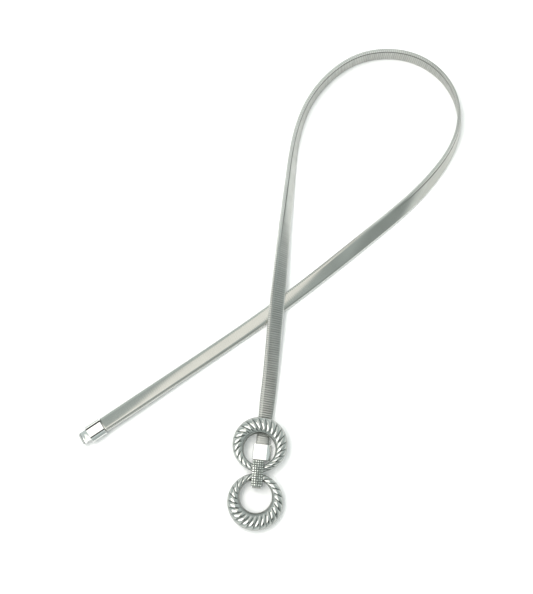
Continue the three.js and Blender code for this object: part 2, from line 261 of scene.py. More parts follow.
band = {
    "width": 10.2,
    "thick": 2.8,
    "endWidth": 8.2,
    "endThick": 2.2,
    "neckStart": 5.4,
    "neckEnd": 6.0,
    "ribPitch": 1.5,
    "ribHeight": 0.26,
    "ribGrowth": [(12.0, 0.35), (20.0, 1.0)],  # the ribs are pressed flatter near the buckle
    "ribSpread": 0.05,  # how much the dullness of single ribs differs
    "chanceSeed": 5,
    "grooveDepth": 0.2,
    # the groove value below is painted shade drawn in the grooves
    "grooveShade": 0.9,
    "shoulderShade": 0.7,  # painted shade on the band where it enters a cap
    "slant": 0.075,  # how far a rib runs along the band for each millimetre across it
    "shadeSlant": 4.0,  # the same for the stretches of painted shade and painted highlight on the ribbed face
    "lipEdge": 3.45,  # across: where the left lip starts
    "lipLevel": 0.8,  # through: where its front starts
    "faceEdge": 2.75,
    "faceLevel": 1.15,
    "backEdge": 3.0,
    "backLevel": -1.15,
    "smoothLevel": -0.9,  # through: below it the band has the smooth finish
    "sharpAngle": 60,
}

# from the middle of the bridge: x, y, turn of the ribbed face from straight up, lift of the lower edge
stations = [
    (2.5, 13.0, 0, 0.55),
    (4.4, 30.6, 0, 0.35),
    (8.3, 65.6, 4, 1.1),
    (11.2, 98.1, 11, 3.5),
    (14.4, 129.6, 24, 3.7),
    (18.1, 167.3, 43, 2.2),
    (21.9, 202.2, 56, 0.7),
    (26.9, 238.9, 68, 0),
    (36.4, 267.9, 77, 0),
    (52.8, 291.3, 81, 0),
    (74.9, 307.1, 83, 0),
    (97.1, 311.3, 85, 0),
    (119.3, 305.7, 87, 0),
    (137.3, 289.1, 91, 0),
    (145.4, 268.1, 98, 0),
    (145.7, 252.0, 105, 0),
    (139.7, 232.3, 111, 0),
    (127.8, 212.9, 121, 0),
    (105.4, 187.9, 139, 0),
    (82.0, 167.4, 156, 0),
    (54.0, 143.9, 171, 0),
    (4.0, 103.9, 179, 0),
    (-43.2, 69.8, 182, 0.3),
    (-84.4, 40.5, 185, 1.4),
    (-103.8, 26.9, 186, 1.5),
]

# how wide the band is, by distance from its end at the buckle and from its free end
buckleNeck = [(6.0, 8.4), (33.0, 10.2)]
tipNeck = [(6.0, 10.0), (15.0, 10.2)]

# painted shade on the ribbed face along the band; below 0 it is a painted highlight
faceShadeAndHighlight = [
    (10.0, 0.1),
    (30.0, 0.2),
    (55.0, 0.16),
    (72.0, 0.0),
    (152.0, 0.0),
    (172.0, -0.27),
    (190.0, -0.24),
    (205.0, -0.16),
    (222.0, -0.1),
    (245.0, -0.04),
    (270.0, 0.0),
]

# painted shade on the smooth back along the band
backShade = [
    (400.0, 0.0),
    (412.0, 0.07),
    (440.0, 0.0),
    (460.0, 0.09),
    (490.0, 0.1),
    (505.0, 0.0),
    (555.0, 0.0),
    (570.0, 0.12),
    (586.0, 0.0),
]

# how deep the grooves are along the band, and how much painted shade lies in them: the left one on both
# faces, the right one on the back
leftGroove = [(130.0, 0.0), (180.0, 1.0), (480.0, 1.0), (515.0, 0.0)]
rightGroove = [(560.0, 0.0), (620.0, 0.4)]

# painted shade on the left edge's lip along the band, toning down its sheen: distance, on the front, on
# the back
lipShade = [
    (110.0, 0.45, 0.0),
    (150.0, 0.0, 0.0),
    (320.0, 0.0, 0.0),
    (345.0, 0.13, 0.18),
    (375.0, 0.34, 0.36),
    (410.0, 0.32, 0.34),
    (428.0, 0.25, 0.25),
    (450.0, 0.1, 0.1),
    (490.0, 0.1, 0.1),
    (525.0, 0.0, 0.0),
    (550.0, 0.0, 0.4),
    (580.0, 0.0, 0.3),
    (620.0, 0.0, 0.0),
]

# the section, from the middle of the back round the left edge to the front and round the right edge:
# across, through, share of the rib height, painted shade, added painted shade between two ribs, share of
# the left groove, share of the right groove
bandProfile = [
    (0.00, -1.36, 0.03, 0.38, 0.03, 0, 0),
    (1.50, -1.34, 0.03, 0.38, 0.03, 0, 0),
    (2.50, -1.30, 0.03, 0.38, 0.03, 0, 0),
    (2.70, -1.29, 0.03, 0.38, 0.03, 0, 0),
    (2.80, -1.28, 0.03, 0.38, 0.0, 0.6, 0),
    (3.10, -1.26, 0.03, 0.35, 0.0, 1, 0),
    (3.40, -1.23, 0.10, 0.25, 0.0, 0.6, 0),
    (3.50, -1.21, 0.20, 0.15, 0.1, 0, 0),
    (4.30, -1.07, 0.30, 0.1, 0.15, 0, 0),
    (4.75, -0.90, 0.40, 0.05, 0.35, 0, 0),
    (5.02, -0.60, 0.40, 0.05, 0.4, 0, 0),
    (5.10, -0.10, 0.50, 0.15, 0.25, 0, 0),
    (5.05, 0.60, 0.90, 0.02, 0.45, 0, 0),
    (4.85, 0.92, 0.95, 0.0, 0.5, 0, 0),
    (4.45, 1.12, 0.95, 0.0, 0.5, 0, 0),
    (3.70, 1.27, 0.90, 0.05, 0.35, 0, 0),
    (3.60, 1.28, 0.80, 0.2, 0.1, 0.6, 0),
    (3.20, 1.28, 0.70, 0.38, 0.1, 1, 0),
    (2.80, 1.29, 0.90, 0.38, 0.2, 0.6, 0),
    (2.70, 1.30, 1.0, 0.38, 0.4, 0, 0),
    (1.50, 1.33, 1.0, 0.38, 0.4, 0, 0),
    (0.00, 1.34, 1.0, 0.38, 0.4, 0, 0),
    (-1.50, 1.33, 1.0, 0.38, 0.4, 0, 0),
    (-2.60, 1.30, 1.0, 0.38, 0.4, 0, 0),
    (-3.60, 1.25, 1.0, 0.38, 0.4, 0, 0),
    (-4.40, 1.17, 0.6, 0.3, 0.25, 0, 0),
    (-4.85, 0.95, 0.4, 0.1, 0.2, 0, 0),
    (-5.05, 0.60, 0.4, 0.05, 0.2, 0, 0),
    (-5.10, 0.00, 0.3, 0.2, 0.1, 0, 0),
    (-5.05, -0.60, 0.4, 0.05, 0.15, 0, 0),
    (-4.85, -0.95, 0.4, 0.05, 0.15, 0, 0),
    (-4.60, -1.09, 0.3, 0.1, 0.1, 0, 0),
    (-4.45, -1.15, 0.2, 0.2, 0.0, 0, 0.3),
    (-4.35, -1.17, 0.1, 0.35, 0.0, 0, 0.8),
    (-4.20, -1.185, 0.03, 0.38, 0.0, 0, 1),
    (-4.05, -1.20, 0.03, 0.38, 0.0, 0, 0.7),
    (-3.95, -1.21, 0.03, 0.38, 0.0, 0, 0),
    (-2.70, -1.29, 0.03, 0.38, 0.03, 0, 0),
    (-1.50, -1.34, 0.03, 0.38, 0.03, 0, 0),
]

# one rib: share of the pitch, depth below the crest
ribSteps = [(0.0, 1.0), (0.22, 0.16), (0.5, 0.0), (0.78, 0.16)]

buckle = {"x": -17.0, "y": -138.9, "z": 1.76, "lean": 4.6, "tilt": 3.37}


def naturalSpline(at, value):
    # natural cubic spline through the values; gives value and slope
    count = len(at)
    gap = np.diff(at)
    rise = np.diff(value) / gap
    system = np.eye(count)
    right = np.zeros(count)
    for i in range(1, count - 1):
        system[i, i - 1:i + 2] = gap[i - 1], 2 * (gap[i - 1] + gap[i]), gap[i]
        right[i] = 6 * (rise[i] - rise[i - 1])
    bend = np.linalg.solve(system, right)

    def read(s):
        i = np.clip(np.searchsorted(at, s, side="left") - 1, 0, count - 2)
        h = gap[i]
        a = (at[i + 1] - s) / h
        b = 1 - a
        curve = ((a ** 3 - a) * bend[i] + (b ** 3 - b) * bend[i + 1]) * h * h
        steepen = (3 * b * b - 1) * bend[i + 1] - (3 * a * a - 1) * bend[i]
        return a * value[i] + b * value[i + 1] + curve / 6, rise[i] + steepen * h / 6

    return read


table = np.array(stations, float)
places = np.concatenate([[0], np.cumsum(np.hypot(*np.diff(table[:, :2], axis=0).T))])
bandLength = places[-1]
route = [naturalSpline(places, table[:, column]) for column in range(4)]


def bandFrames(s):
    # centre, way along, way to the left edge and way out of the ribbed face, at places s
    x, xSlope = route[0](s)
    y, ySlope = route[1](s)
    turn = np.radians(route[2](s)[0])[:, None]
    lift = np.maximum(route[3](s)[0], 0)
    along = np.stack([xSlope, ySlope, np.zeros_like(s)], axis=1)
    along /= np.linalg.norm(along, axis=1)[:, None]
    left = np.stack([-along[:, 1], along[:, 0], np.zeros_like(s)], axis=1)
    up = np.array([0.0, 0.0, 1.0])
    edge = np.cos(turn) * left + np.sin(turn) * up
    face = np.cos(turn) * up - np.sin(turn) * left
    halfFlat = (band["width"] - band["thick"]) / 2
    height = lift + halfFlat * np.abs(np.sin(turn[:, 0])) + band["thick"] / 2
    centre = np.stack([buckle["x"] + x, buckle["y"] + y, height], axis=1)
    return centre, along, edge, face


def bandOutline():
    # the section with its outward normals
    outline = np.array(bandProfile)
    step = np.roll(outline[:, :2], -1, axis=0) - np.roll(outline[:, :2], 1, axis=0)
    normal = np.stack([step[:, 1], -step[:, 0]], axis=1)
    return outline, normal / np.linalg.norm(normal, axis=1)[:, None]


def bandRings():
    # places of the rings along the band, how deep each lies in its rib, and a chance number for each rib
    start = band["neckEnd"]
    length = bandLength - 2 * start
    ribs = round(length / band["ribPitch"])
    share = np.array([row[0] for row in ribSteps])
    depth = np.array([row[1] for row in ribSteps])
    s = start + (np.arange(ribs)[:, None] + share[None, :]).ravel() * length / ribs
    s = np.concatenate([[0, band["neckStart"]], s, [bandLength - start]])
    s = np.concatenate([s, [bandLength - band["neckStart"], bandLength]])
    depths = np.concatenate([[0, 0], np.tile(depth, ribs), [1.0, 0, 0]])
    chance = np.random.default_rng(band["chanceSeed"]).uniform(-1, 1, ribs).repeat(len(ribSteps))
    chance = np.concatenate([[0, 0], chance, [0, 0, 0]])
    return s, depths * np.interp(s, *np.array(band["ribGrowth"]).T), chance


def alongBand(rows, s):
    # a column of values read from a table of place and value
    place, value = np.array(list(rows)).T
    return np.interp(s, place, value)[:, None]


def makeBand(material, backMaterial):
    outline, normal = bandOutline()
    s, depth, chance = bandRings()
    centre, along, edge, face = bandFrames(s)
    nearBuckle = s < bandLength / 2
    fromBuckle = np.interp(s, *np.array(buckleNeck).T)
    fromTip = np.interp(bandLength - s, *np.array(tipNeck).T)
    width = np.where(nearBuckle, fromBuckle, fromTip)
    fromEnd = np.minimum(s, bandLength - s)
    inCap = fromEnd <= band["neckStart"]
    width = np.where(inCap, band["endWidth"], width)
    thick = np.where(inCap, band["endThick"], band["thick"])
    flatX, flatZ, ribShare, dullAndShaded, ribValleyShade, leftShare, rightShare = outline.T
    groove = alongBand(leftGroove, s) * leftShare + alongBand(rightGroove, s) * rightShare
    sink = band["ribHeight"] * depth[:, None] * ribShare + band["grooveDepth"] * groove
    across = flatX * (width / band["width"])[:, None] - sink * normal[:, 0]
    through = flatZ * (thick / band["thick"])[:, None] - sink * normal[:, 1]
    forward = band["slant"] * across * np.clip(through, -1, 1) * ~inCap[:, None]
    points = (
        centre[:, None]
        + edge[:, None] * across[..., None]
        + face[:, None] * through[..., None]
        + along[:, None] * forward[..., None]
    )
    faces = skinFaces(len(s), len(outline), False)
    item = makeMesh("coilBand", points.reshape(-1, 3), faces, band["sharpAngle"])
    isFace = (flatZ > band["faceLevel"]) & (flatX < band["faceEdge"])
    isBack = (flatZ < band["backLevel"]) & (flatX < band["backEdge"])
    isLip = flatX > band["lipEdge"]
    onFront = flatZ > band["lipLevel"]
    slanted = s[:, None] - band["shadeSlant"] * flatX
    # painted shade and painted highlight along the ribbed face, with the ribs' own random tone
    faceShadeAndSpread = band["ribSpread"] * chance[:, None] + np.interp(slanted, *np.array(faceShadeAndHighlight).T)
    lipAt, frontLip, backLip = zip(*lipShade)
    # painted shade: a level for each point of the section, deeper between two ribs and in the grooves
    shadeAmount = dullAndShaded + depth[:, None] * ribValleyShade + band["grooveShade"] * groove
    # painted shade on the face and on the smooth back along the band
    shadeAmount = shadeAmount + faceShadeAndSpread * isFace + alongBand(backShade, s) * isBack
    # painted shade on the left lip, front and back
    shadeAmount = shadeAmount + alongBand(zip(lipAt, frontLip), s) * (isLip & onFront)
    shadeAmount = shadeAmount + alongBand(zip(lipAt, backLip), s) * (isLip & ~onFront)
    # painted shade where the band enters a cap
    atCap = np.round(fromEnd, 3) <= band["neckEnd"]
    shadeAmount = np.maximum(shadeAmount, band["shoulderShade"] * atCap[:, None])
    addNumber(item, "shadeAmount", np.clip(shadeAmount, 0, 1))
    item.data.materials.append(material)
    item.data.materials.append(backMaterial)
    isSmooth = flatZ < band["smoothLevel"]
    smoothQuad = isSmooth & np.roll(isSmooth, -1)
    kind = np.tile(smoothQuad.astype(np.int32), len(s) - 1).tolist() + [0, 0]
    item.data.polygons.foreach_set("material_index", kind)
    finishPiece(item, "coil_band", "band")


ribLook = {
    "bright": (0.74, 0.75, 0.72),
    "dullAndShaded": (0.08, 0.08, 0.07),
    "clouds": 0.12,
    "cloudScale": 60.0,
    "shadeStrength": 0.85,
    "scratchScale": 900.0,
    "roughness": (0.29, 0.4),
    "bump": 0.15,
}
backLook = dict(ribLook, bright=(0.73, 0.735, 0.69), roughness=(0.11, 0.17))

makeBand(metalMaterial("coilMetal", ribLook), metalMaterial("satinBack", backLook))
print("stage: band")


# rings: rope-twist tubes between a round outline and a round hole set off its centre

ring = {
    "outerDiameter": 34.8,
    "holeDiameter": 19.8,
    "holeOffset": 3.25,
    "farHeight": 7.0,
    "nearHeight": 3.9,
    "spacing": 0.8,
    "flutes": 24,
    "stepsPerFlute": 18,
    "twist": 4,
    "fluteDepth": 0.22,
    "fluteRound": 0.94,  # nearer to 1 the lobes are rounder and the grooves sharper
    "rimFade": (0.3, 0.75),  # sines of the angle round the section where the flutes begin and are full
    "wallFade": (0.6, 0.92),
    "sectionSteps": 56,
    "grooveReach": (0.6, 1.0),  # across half a lobe: where the painted shade of a groove begins and is full
    "wallShade": 0.6,  # painted shade on the plain wall of the hole
    "wallReach": (0.5, 0.8),  # cosines of the angle round the section where that begins and is full
    "rimShade": 0.36,  # the same for the plain outer rim
    "rimReach": (0.6, 0.9),
}


def buckleMatrix():
    lean = Matrix.Rotation(math.radians(-buckle["lean"]), 4, "Z")
    tilt = Matrix.Rotation(math.radians(buckle["tilt"]), 4, "X")
    return Matrix.Translation((buckle["x"], buckle["y"], buckle["z"])) @ lean @ tilt


def makeRing(name, node, mirrored, start, material):
    # columns of points follow the flutes, which are evenly spaced round the outer edge
    count = ring["flutes"] * ring["stepsPerFlute"]
    column = (2 * np.pi * np.arange(count) / count)[:, None]
    angle = (2 * np.pi * np.arange(ring["sectionSteps"]) / ring["sectionSteps"])[None, :]
    halfWidth = (ring["outerDiameter"] - ring["holeDiameter"]) / 4
    midRadius = (ring["outerDiameter"] + ring["holeDiameter"]) / 4
    sway = ring["holeOffset"] / 2
    meanHeight = (ring["farHeight"] + ring["nearHeight"]) / 4
    heightSway = (ring["farHeight"] - ring["nearHeight"]) / 4
    centreY = ring["spacing"] / 2 + ring["outerDiameter"] / 2 - sway
    turned = column - ring["twist"] / ring["flutes"] * np.cos(angle)
    around = turned - sway / midRadius * np.sin(turned)
    lobe = (ring["flutes"] * column / np.pi + start) % 2 - 1  # 0 on the crest, 1 and -1 in the grooves
    dip = 1 - np.sqrt(1 - ring["fluteRound"] * lobe ** 2)
    fromRim = smoothStep(np.sin(angle), *ring["rimFade"])
    fromWall = smoothStep(np.sin(angle), *ring["wallFade"])
    onTop = np.where(np.cos(angle) > 0, fromRim, fromWall)
    flute = 1 - ring["fluteDepth"] * onTop * dip
    far = np.cos(around)
    radius = midRadius + (halfWidth + sway * far) * np.cos(angle) * flute
    x = radius * np.sin(around)
    y = centreY + radius * np.cos(around)
    z = ring["farHeight"] / 2 + (meanHeight + heightSway * far) * np.sin(angle) * flute
    points = np.stack([x, y, z], axis=-1).reshape(-1, 3)
    faces = skinFaces(count, ring["sectionSteps"], True)
    if mirrored:
        points *= [1, -1, 1]
        faces = [face[::-1] for face in faces]
    item = makeMesh(name, placed(points, buckleMatrix()), faces)
    # painted shade on the hole's wall and on the outer rim
    plain = ring["wallShade"] * smoothStep(-np.cos(angle), *ring["wallReach"])
    plain = plain + ring["rimShade"] * smoothStep(np.cos(angle), *ring["rimReach"])
    # painted shade in the grooves between the flutes
    inGroove = smoothStep(np.abs(lobe) * onTop, *ring["grooveReach"])
    addNumber(item, "shadeAmount", np.maximum(inGroove, plain))
    item.data.materials.append(material)
    finishPiece(item, "rope_ring", node)


ringLook = {
    "bright": (0.58, 0.59, 0.565),
    "dullAndShaded": (0.05, 0.06, 0.05),
    "clouds": 0.12,
    "cloudScale": 140.0,
    "shadeStrength": 0.8,
    "scratchScale": 700.0,
    "roughness": (0.07, 0.13),
    "bump": 0.08,
}

ringMetal = metalMaterial("ringMetal", ringLook)
makeRing("upperRopeRing", "upper_ring", False, 0.0, ringMetal)
makeRing("lowerRopeRing", "lower_ring", True, 1.0, ringMetal)
print("stage: rings")


# bridge: the strap that holds both rings, its bed and its stones

bridge = {
    "strapWidth": 5.3,
    "strapThick": 1.0,
    "wallThick": 0.9,
    "sleeveHalf": 5.35,
    "sleeveFloor": 1.25,
    "sleeveTop": 5.75,
    "barEnd": -9.6,
    "barFoot": 0.5,
    "barBend": 1.6,
    "bedWidth": 7.0,
    "bedNear": -8.5,
    "bedFar": 7.4,
    "bedThick": 0.7,
    "tongueWidth": 4.4,
    "tongueShift": 1.25,
    "tongueDrop": 1.0,
    "tongueEnd": 10.9,
    "softEdge": 0.15,
    "dome": 0.25,  # how much lower the bed's long sides lie than its middle
    "bedSteps": 12,
    "barInset": 0.2,  # how far short of the bed's far end the bar stops
    "bendEase": 0.1,  # how much wider the bar's inner bend is
    "bendSteps": (6, 3),  # of the bar's outer and inner bend
    "floorInset": 0.05,  # small offsets that keep the faces of joined blocks apart
    "floorDrop": 0.02,
    "tongueRaise": 0.03,
    "tongueRoot": 0.1,
    "topMargin": 0.05,  # how far below the bed's long sides a face still counts as its top
    "endMargin": 0.01,
    "sharpAngle": 35,
}

stone = {
    "columns": 5,
    "rows": 11,
    "sides": 8,  # of the table; the girdle has twice as many
    "girdle": 0.62,
    "star": 0.52,
    "table": 0.42,
    "height": 0.45,
    "starHeight": 0.3,
    "sink": 0.3,
    "raise": 0.02,
    "turn": 0.7,  # step of the stones' different turns
    "bead": 0.15,
    "beadRaise": 0.05,
    "edgePull": (0.93, 0.85),  # how far the beads of the outer columns and of the last row move in
    "sharpAngle": 5,
}


def softBlock(x, y, z, edge):
    # a block with its edges rounded off
    mesh = bmesh.new()
    bmesh.ops.create_cube(mesh, size=1)
    for point in mesh.verts:
        point.co.x = x[0] + (point.co.x + 0.5) * (x[1] - x[0])
        point.co.y = y[0] + (point.co.y + 0.5) * (y[1] - y[0])
        point.co.z = z[0] + (point.co.z + 0.5) * (z[1] - z[0])
    bmesh.ops.bevel(mesh, geom=mesh.edges[:], offset=edge, segments=2, affect="EDGES", profile=0.5)
    return mesh


def sideSlab(outline, width, edge):
    # an outline drawn in Y and Z, given thickness across X, with its edges rounded off
    mesh = bmesh.new()
    sides = []
    for x in (-width / 2, width / 2):
        sides.append([mesh.verts.new((x, y, z)) for y, z in outline])
    count = len(outline)
    for i in range(count):
        j = (i + 1) % count
        mesh.faces.new((sides[0][i], sides[0][j], sides[1][j], sides[1][i]))
    mesh.faces.new(sides[0][::-1])
    mesh.faces.new(sides[1])
    bmesh.ops.recalc_face_normals(mesh, faces=mesh.faces[:])
    rims = [e for e in mesh.edges if abs(e.verts[0].co.x - e.verts[1].co.x) < 1e-6]
    bmesh.ops.bevel(mesh, geom=rims, offset=edge, segments=2, affect="EDGES", profile=0.5)
    return mesh


def asItem(name, mesh, matrix):
    # writes a bmesh that was drawn in millimetres as an object, in metres
    mesh.transform(Matrix.Scale(mm, 4) @ matrix)
    data = bpy.data.meshes.new(name)
    mesh.to_mesh(data)
    mesh.free()
    return addObject(name, data)


def united(items):
    # one closed mesh from overlapping ones
    first = items[0]
    for other in items[1:]:
        union = first.modifiers.new("union", "BOOLEAN")
        union.operation = "UNION"
        union.solver = "EXACT"
        union.object = other
    bpy.context.view_layer.update()
    graph = bpy.context.evaluated_depsgraph_get()
    data = bpy.data.meshes.new_from_object(first.evaluated_get(graph))
    first.modifiers.clear()
    first.data = data
    for other in items[1:]:
        bpy.data.objects.remove(other)
    shadeSmooth(data, bridge["sharpAngle"])
    return first


def arc(centreY, centreZ, radius, start, end, steps):
    angles = np.radians(np.linspace(start, end, steps + 1))
    return [(centreY + radius * math.cos(a), centreZ + radius * math.sin(a)) for a in angles]


def barOutline():
    b = bridge
    top = b["sleeveTop"] + b["strapThick"]
    bend = b["barBend"]
    inner = bend - b["strapThick"] + b["bendEase"]
    far = b["bedFar"] - b["barInset"]
    outerSteps, innerSteps = b["bendSteps"]
    foot = [(b["barEnd"], b["barFoot"]), (b["barEnd"] + b["strapThick"], b["barFoot"])]
    underY = b["barEnd"] + b["strapThick"] + inner
    under = arc(underY, b["sleeveTop"] - inner, inner, 180, 90, innerSteps)
    return (
        [(far, b["sleeveTop"]), (far, top)]
        + arc(b["barEnd"] + bend, top - bend, bend, 90, 180, outerSteps)
        + foot
        + under
    )


def makeSetting(material, bedMaterial):
    b = bridge
    place = buckleMatrix()
    half = b["strapWidth"] / 2
    near, far = b["sleeveHalf"], b["sleeveHalf"] + b["wallThick"]
    bottom = b["sleeveFloor"] - b["strapThick"]
    bedFloor = b["sleeveTop"] + b["strapThick"]
    wallTop = b["sleeveTop"] + b["strapThick"] / 2
    tongueTop = bottom + b["strapThick"] - b["tongueDrop"]
    tongueFloor = tongueTop - b["strapThick"]
    tongue = (b["tongueShift"] - b["tongueWidth"] / 2, b["tongueShift"] + b["tongueWidth"] / 2)
    tongueRun = (near + b["tongueRoot"], b["tongueEnd"])
    floorRun = (b["floorInset"] - far, far - b["floorInset"])
    edge = b["softEdge"]
    sides = (-half, half)
    blocks = [
        sideSlab(barOutline(), b["strapWidth"], edge),
        softBlock(sides, (-far, -near), (bottom, wallTop), edge),
        softBlock(sides, (near, far), (tongueFloor, wallTop), edge),
        softBlock(sides, floorRun, (bottom - b["floorDrop"], b["sleeveFloor"]), edge),
        softBlock(tongue, tongueRun, (tongueFloor + b["tongueRaise"], tongueTop), edge),
        bedBlock(bedFloor),
    ]
    items = [asItem("setting" + str(i), block, place) for i, block in enumerate(blocks)]
    item = united(items)
    item.name = "bridgeSetting"
    item.data.materials.append(material)
    item.data.materials.append(bedMaterial)
    flat = place.inverted()
    for face in item.data.polygons:
        middle = flat @ (face.center / mm)
        onBed = middle.z > bedFloor + b["bedThick"] - b["dome"] - b["topMargin"]
        onEnd = middle.y < b["bedNear"] + b["endMargin"]
        face.material_index = int(onBed and not onEnd)
    finishPiece(item, "stone_bridge", "bridge")


def bedDrop(x):
    return bridge["dome"] * (x / (bridge["bedWidth"] / 2)) ** 2


def bedBlock(bedFloor):
    # the bed under the stones, lower along its long sides
    b = bridge
    mesh = bmesh.new()
    steps = b["bedSteps"]
    half = b["bedWidth"] / 2
    low = bedFloor - b["strapThick"] / 2
    top = bedFloor + b["bedThick"]
    ends = []
    for y in (b["bedNear"], b["bedFar"]):
        row = [(half * (2 * i / steps - 1), y) for i in range(steps + 1)]
        upper = [mesh.verts.new((x, y, top - bedDrop(x))) for x, y in row]
        lower = [mesh.verts.new((x, y, low)) for x, y in (row[-1], row[0])]
        ends.append(upper + lower)
    count = len(ends[0])
    for i in range(count):
        j = (i + 1) % count
        mesh.faces.new((ends[0][i], ends[0][j], ends[1][j], ends[1][i]))
    mesh.faces.new(ends[0])
    mesh.faces.new(ends[1])
    bmesh.ops.recalc_face_normals(mesh, faces=mesh.faces[:])
    return mesh


def stonePattern():
    # one cut stone: table, star facets, crown facets down to the girdle, and a plain point below
    s = stone
    sides = s["sides"]
    girdle, tip = 2 * sides, 4 * sides

    def circle(radius, height, count, turn):
        angles = 2 * np.pi * (np.arange(count) + turn) / count
        heights = np.full(count, height)
        return np.stack([radius * np.cos(angles), radius * np.sin(angles), heights], axis=1)

    points = np.concatenate([
        circle(s["table"], s["height"], sides, 0),
        circle(s["star"], s["starHeight"], sides, 0.5),
        circle(s["girdle"], 0.0, 2 * sides, 0),
        [[0, 0, -s["sink"]]],
    ])
    faces = [list(range(sides))]
    for i in range(sides):
        after = (i + 1) % sides
        before = (i - 1) % sides
        corner = girdle + 2 * i
        faces.append([i, sides + i, after])
        faces.append([i, sides + before, corner, sides + i])
        faces.append([sides + i, corner, corner + 1])
        faces.append([sides + i, corner + 1, girdle + 2 * after])
    for i in range(2 * sides):
        faces.append([girdle + i, tip, girdle + (i + 1) % (2 * sides)])
    return points, faces


def stonePlaces():
    b = bridge
    top = b["sleeveTop"] + b["strapThick"] + b["bedThick"]
    stepX = b["bedWidth"] / stone["columns"]
    stepY = (b["bedFar"] - b["bedNear"]) / stone["rows"]
    for row in range(stone["rows"]):
        for column in range(stone["columns"]):
            x = -b["bedWidth"] / 2 + stepX * (column + 0.5)
            y = b["bedNear"] + stepY * (row + 0.5)
            yield row, column, x, y, top - bedDrop(x), stepX, stepY


def makeStones(material):
    pattern, patternFaces = stonePattern()
    points, faces = [], []
    for row, column, x, y, z, _, _ in stonePlaces():
        slope = 2 * bridge["dome"] * x / (bridge["bedWidth"] / 2) ** 2
        spin = stone["turn"] * ((3 * row + 5 * column) % 7)
        turn = Matrix.Rotation(math.atan(slope), 4, "Y") @ Matrix.Rotation(spin, 4, "Z")
        start = len(points) * len(pattern)
        points.append(placed(pattern, Matrix.Translation((x, y, z + stone["raise"])) @ turn))
        faces += [[start + i for i in face] for face in patternFaces]
    flat = placed(np.concatenate(points), buckleMatrix())
    item = makeMesh("bridgeStones", flat, faces, stone["sharpAngle"])
    item.data.materials.append(material)
    finishPiece(item, "stone_bridge", "bridge")


def makeBeads(material):
    # small raised beads between the stones, which hold them
    mesh = bmesh.new()
    top = bridge["sleeveTop"] + bridge["strapThick"] + bridge["bedThick"]
    sidePull, endPull = stone["edgePull"]
    for row, column, x, y, _, stepX, stepY in stonePlaces():
        for side in (1, -1) if column == 0 else (1,):
            outside = (column, side) in ((0, -1), (stone["columns"] - 1, 1))
            beadX = x + side * stepX / 2 * (sidePull if outside else 1)
            beadY = y + stepY / 2 * (endPull if row == stone["rows"] - 1 else 1)
            place = Matrix.Translation((beadX, beadY, top - bedDrop(beadX) + stone["beadRaise"]))
            bmesh.ops.create_icosphere(mesh, subdivisions=2, radius=stone["bead"], matrix=place)
    item = asItem("settingBeads", mesh, buckleMatrix())
    shadeSmooth(item.data)
    item.data.materials.append(material)
    finishPiece(item, "stone_bridge", "bridge")


crystalLook = {
    "metallic": 0.8,
    "roughness": 0.18,
    "coat": 0.3,
    "coatRoughness": 0.03,
    "cellScale": 700.0,  # patches of one painted glint tone, about the size of a facet
    "glintTones": ((0.3, (0.42, 0.46, 0.42)), (0.6, (0.82, 0.84, 0.8))),
}


def crystalMaterial():
    # foil-backed stone under a clear glossy coat, with patches the size of a facet drawn brighter or
    # darker as painted glints
    look = crystalLook
    material = bpy.data.materials.new("foiledCrystal")
    material.use_nodes = True
    tree = material.node_tree
    shader = tree.nodes["Principled BSDF"]
    shader.inputs["Metallic"].default_value = look["metallic"]
    shader.inputs["Roughness"].default_value = look["roughness"]
    shader.inputs["Coat Weight"].default_value = look["coat"]
    shader.inputs["Coat Roughness"].default_value = look["coatRoughness"]
    place = tree.nodes.new("ShaderNodeTexCoord")
    cells = tree.nodes.new("ShaderNodeTexVoronoi")
    cells.inputs["Scale"].default_value = look["cellScale"]
    tree.links.new(place.outputs["Object"], cells.inputs["Vector"])
    ramp = tree.nodes.new("ShaderNodeValToRGB")
    for element, (position, tone) in zip(ramp.color_ramp.elements, look["glintTones"]):
        element.position = position
        element.color = (*tone, 1)
    tree.links.new(cells.outputs["Color"], ramp.inputs["Fac"])
    tree.links.new(ramp.outputs["Color"], shader.inputs["Base Color"])
    return material


settingLook = dict(ringLook, bright=(0.45, 0.46, 0.43), clouds=0.3, roughness=(0.2, 0.3))
# the bed is drawn nearly black: painted shade between the stones
bedLook = dict(settingLook, bright=(0.18, 0.19, 0.18), dullAndShaded=(0.05, 0.05, 0.05), roughness=(0.4, 0.5))
settingMetal = metalMaterial("settingMetal", settingLook)
makeSetting(settingMetal, metalMaterial("paintedShadeBed", bedLook))
makeBeads(settingMetal)
makeStones(crystalMaterial())
print("stage: bridge")


# caps: polished sleeves on both ends of the band

cap = {
    "width": 11.6,
    "length": 10.2,
    "height": 3.9,
    "backWidth": 9.2,
    "faceEdges": (5.4, 3.5),  # where the flat of the front ends on its two sides
    "sideHeight": 1.8,
    "grooveAt": 3.1,
    "grooveWidth": 1.0,
    "grooveDepth": 0.65,
    "noFall": ((0, 0, 0), (0, 0, 0)),
    "tipFall": ((0.3, 0.44, 0.56), (0.3, 0.15, 0.0)),  # how far the strip on its back falls away
    "corners": {  # how the section's corners are taken off: across, or across and in height
        "grooveFloor": 0.1,
        "grooveLip": (0.2, 0.06),
        "back": (0.06, 0.05),
        "sideBack": (0.1, 0.1),
        "side": 0.15,
        "sideFront": (0.05, 0.1),
        "front": (0.1, 0.1),
        "frontFlat": (0.12, 0.35),
    },
    "softEdge": 0.22,
    "mouthDepth": 5.4,
    "pocketDepth": 3.3,
    "fitGap": 0.3,
    "floorMargin": 0.01,  # how far from the groove's floor a point still counts as on it
    "sharpAngle": 25,
}

